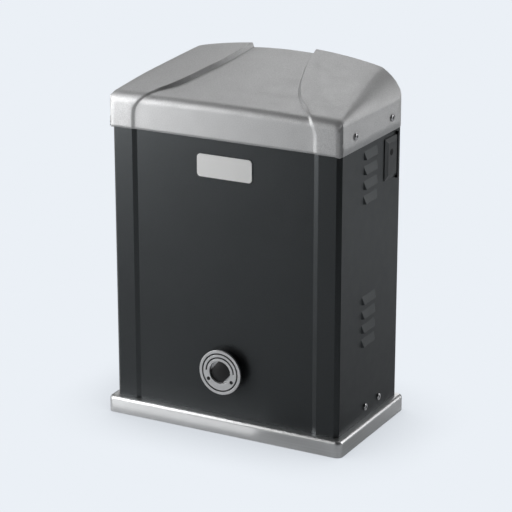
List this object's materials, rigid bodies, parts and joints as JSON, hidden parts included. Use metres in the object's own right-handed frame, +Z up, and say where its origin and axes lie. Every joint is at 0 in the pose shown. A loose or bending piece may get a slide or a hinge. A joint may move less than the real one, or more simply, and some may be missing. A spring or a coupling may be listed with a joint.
{
  "type": "sliding gate motor",
  "caption": "Upright sliding gate operator: dark sheet cabinet with louvres, silver sloped lid and steel base, worm gearmotor inside, rear pinion and front release.",
  "frame": {"origin": "centre of the base footprint on the ground", "axes": "+Z up, the front with the release faces -Y, the gate and the pinion are on +Y, the side with the access flap is +X"},
  "size_m": [0.36, 0.2432, 0.4992],
  "materials": {
    "cabinet_paint": "fine textured powder coat",
    "lid_silver": "silver metallic paint, fine grain",
    "stainless": "brushed stainless sheet",
    "badge_white": "bare white enamel",
    "bezel_grey": "satin grey",
    "plug_black": "moulded black",
    "mark_dark": "dark inlay",
    "zinc_steel": "bright zinc plated",
    "plain_steel": "machined steel",
    "bronze": "cast bronze, machined teeth",
    "cast_alloy": "sand-cast alloy",
    "motor_paint": "grey machine enamel",
    "laminations": "stacked laminations",
    "copper": "lacquered copper winding",
    "rubber_black": "matt black rubber",
    "box_plastic": "light grey moulded",
    "board_green": "solder-masked board",
    "relay_black": "moulded relay cases",
    "terminal_green": "moulded terminal blocks",
    "can_aluminium": "drawn can",
    "fan_plastic": "moulded fan",
    "sight_amber": "clear oil window",
    "flap_black": "moulded black flap"
  },
  "bodies": {
    "root": {"base_tray": "stainless", "mounting_plate": "plain_steel", "base_spacers": "zinc_steel", "levelling_screws": "zinc_steel", "cable_grommet": "rubber_black", "base_brackets": "zinc_steel", "frame_uprights": "zinc_steel", "front_panel": "cabinet_paint", "left_panel": "cabinet_paint", "right_panel": "cabinet_paint", "rear_panel": "cabinet_paint", "cabinet_screws": "zinc_steel", "lid": "lid_silver", "lid_nuts": "zinc_steel", "badge_plate": "badge_white", "release_bezel": "bezel_grey", "release_marks": "mark_dark", "bezel_nut": "zinc_steel", "output_bearings": "plain_steel", "oil_seal": "rubber_black", "gear_housing": "cast_alloy", "gearbox_cover": "cast_alloy", "cover_screws": "zinc_steel", "foot_bolts": "zinc_steel", "oil_plugs": "zinc_steel", "sight_glass": "sight_amber", "worm_bearings": "plain_steel", "stator_core": "laminations", "motor_windings": "copper", "motor_housing": "motor_paint", "motor_bolts": "zinc_steel", "motor_end_shield": "cast_alloy", "motor_bearing": "plain_steel", "fan_cowl": "motor_paint", "electronics_rail": "zinc_steel", "control_box": "box_plastic", "control_box_cover": "box_plastic", "control_board": "board_green", "board_relays": "relay_black", "terminal_blocks": "terminal_green", "transformer": "laminations", "run_capacitor": "can_aluminium", "limit_switch_housing": "plug_black", "limit_switches": "relay_black", "flap_hinge_pin": "zinc_steel"},
    "rotor": {"worm_shaft": "plain_steel", "rotor_core": "laminations", "cooling_fan": "fan_plastic"},
    "output": {"output_shaft": "plain_steel", "worm_wheel": "bronze", "drive_pinion": "plain_steel", "pinion_key": "plain_steel", "pinion_screw": "zinc_steel"},
    "clutch": {"clutch_sleeve": "plain_steel", "release_rod": "plain_steel"},
    "release": {"release_plug": "plug_black"},
    "flap": {"access_flap": "flap_black"},
    "flap_lock": {"flap_lock": "zinc_steel"},
    "limit_lever": {"limit_lever": "zinc_steel", "limit_spring": "zinc_steel"}
  },
  "joints": [
    {"name": "rotor_spin", "type": "hinge", "parent": "root", "child": "rotor", "pos_m": [0.06, 0, 0.09], "axis": [0, 0, 1], "continuous": true},
    {"name": "output_spin", "type": "hinge", "parent": "root", "child": "output", "pos_m": [0, 0, 0.09], "axis": [0, 1, 0], "continuous": true},
    {"name": "release_turn", "type": "hinge", "parent": "root", "child": "release", "pos_m": [0, -0.09, 0.09], "axis": [0, -1, 0], "range_deg": [0, 180]},
    {"name": "clutch_slide", "type": "slide", "parent": "output", "child": "clutch", "axis": [0, -1, 0], "range_m": [0, 0.006]},
    {"name": "flap_hinge", "type": "hinge", "parent": "root", "child": "flap", "pos_m": [0.172, 0.0793, 0.3725], "axis": [0, 0, 1], "range_deg": [0, 110]},
    {"name": "lock_turn", "type": "hinge", "parent": "flap", "child": "flap_lock", "pos_m": [0.17, 0.057, 0.381], "axis": [-1, 0, 0], "range_deg": [0, 90]},
    {"name": "limit_swing", "type": "hinge", "parent": "root", "child": "limit_lever", "pos_m": [0, 0.12, 0.215], "axis": [0, 1, 0], "range_deg": [-35, 35], "stiffness_Nm_per_rad": 0.2}
  ],
  "couplings": [
    {"joint": "output_spin", "follows": "rotor_spin", "ratio": 0.033333},
    {"joint": "release_turn", "follows": "clutch_slide", "rad_per_m": 523.59}
  ]
}
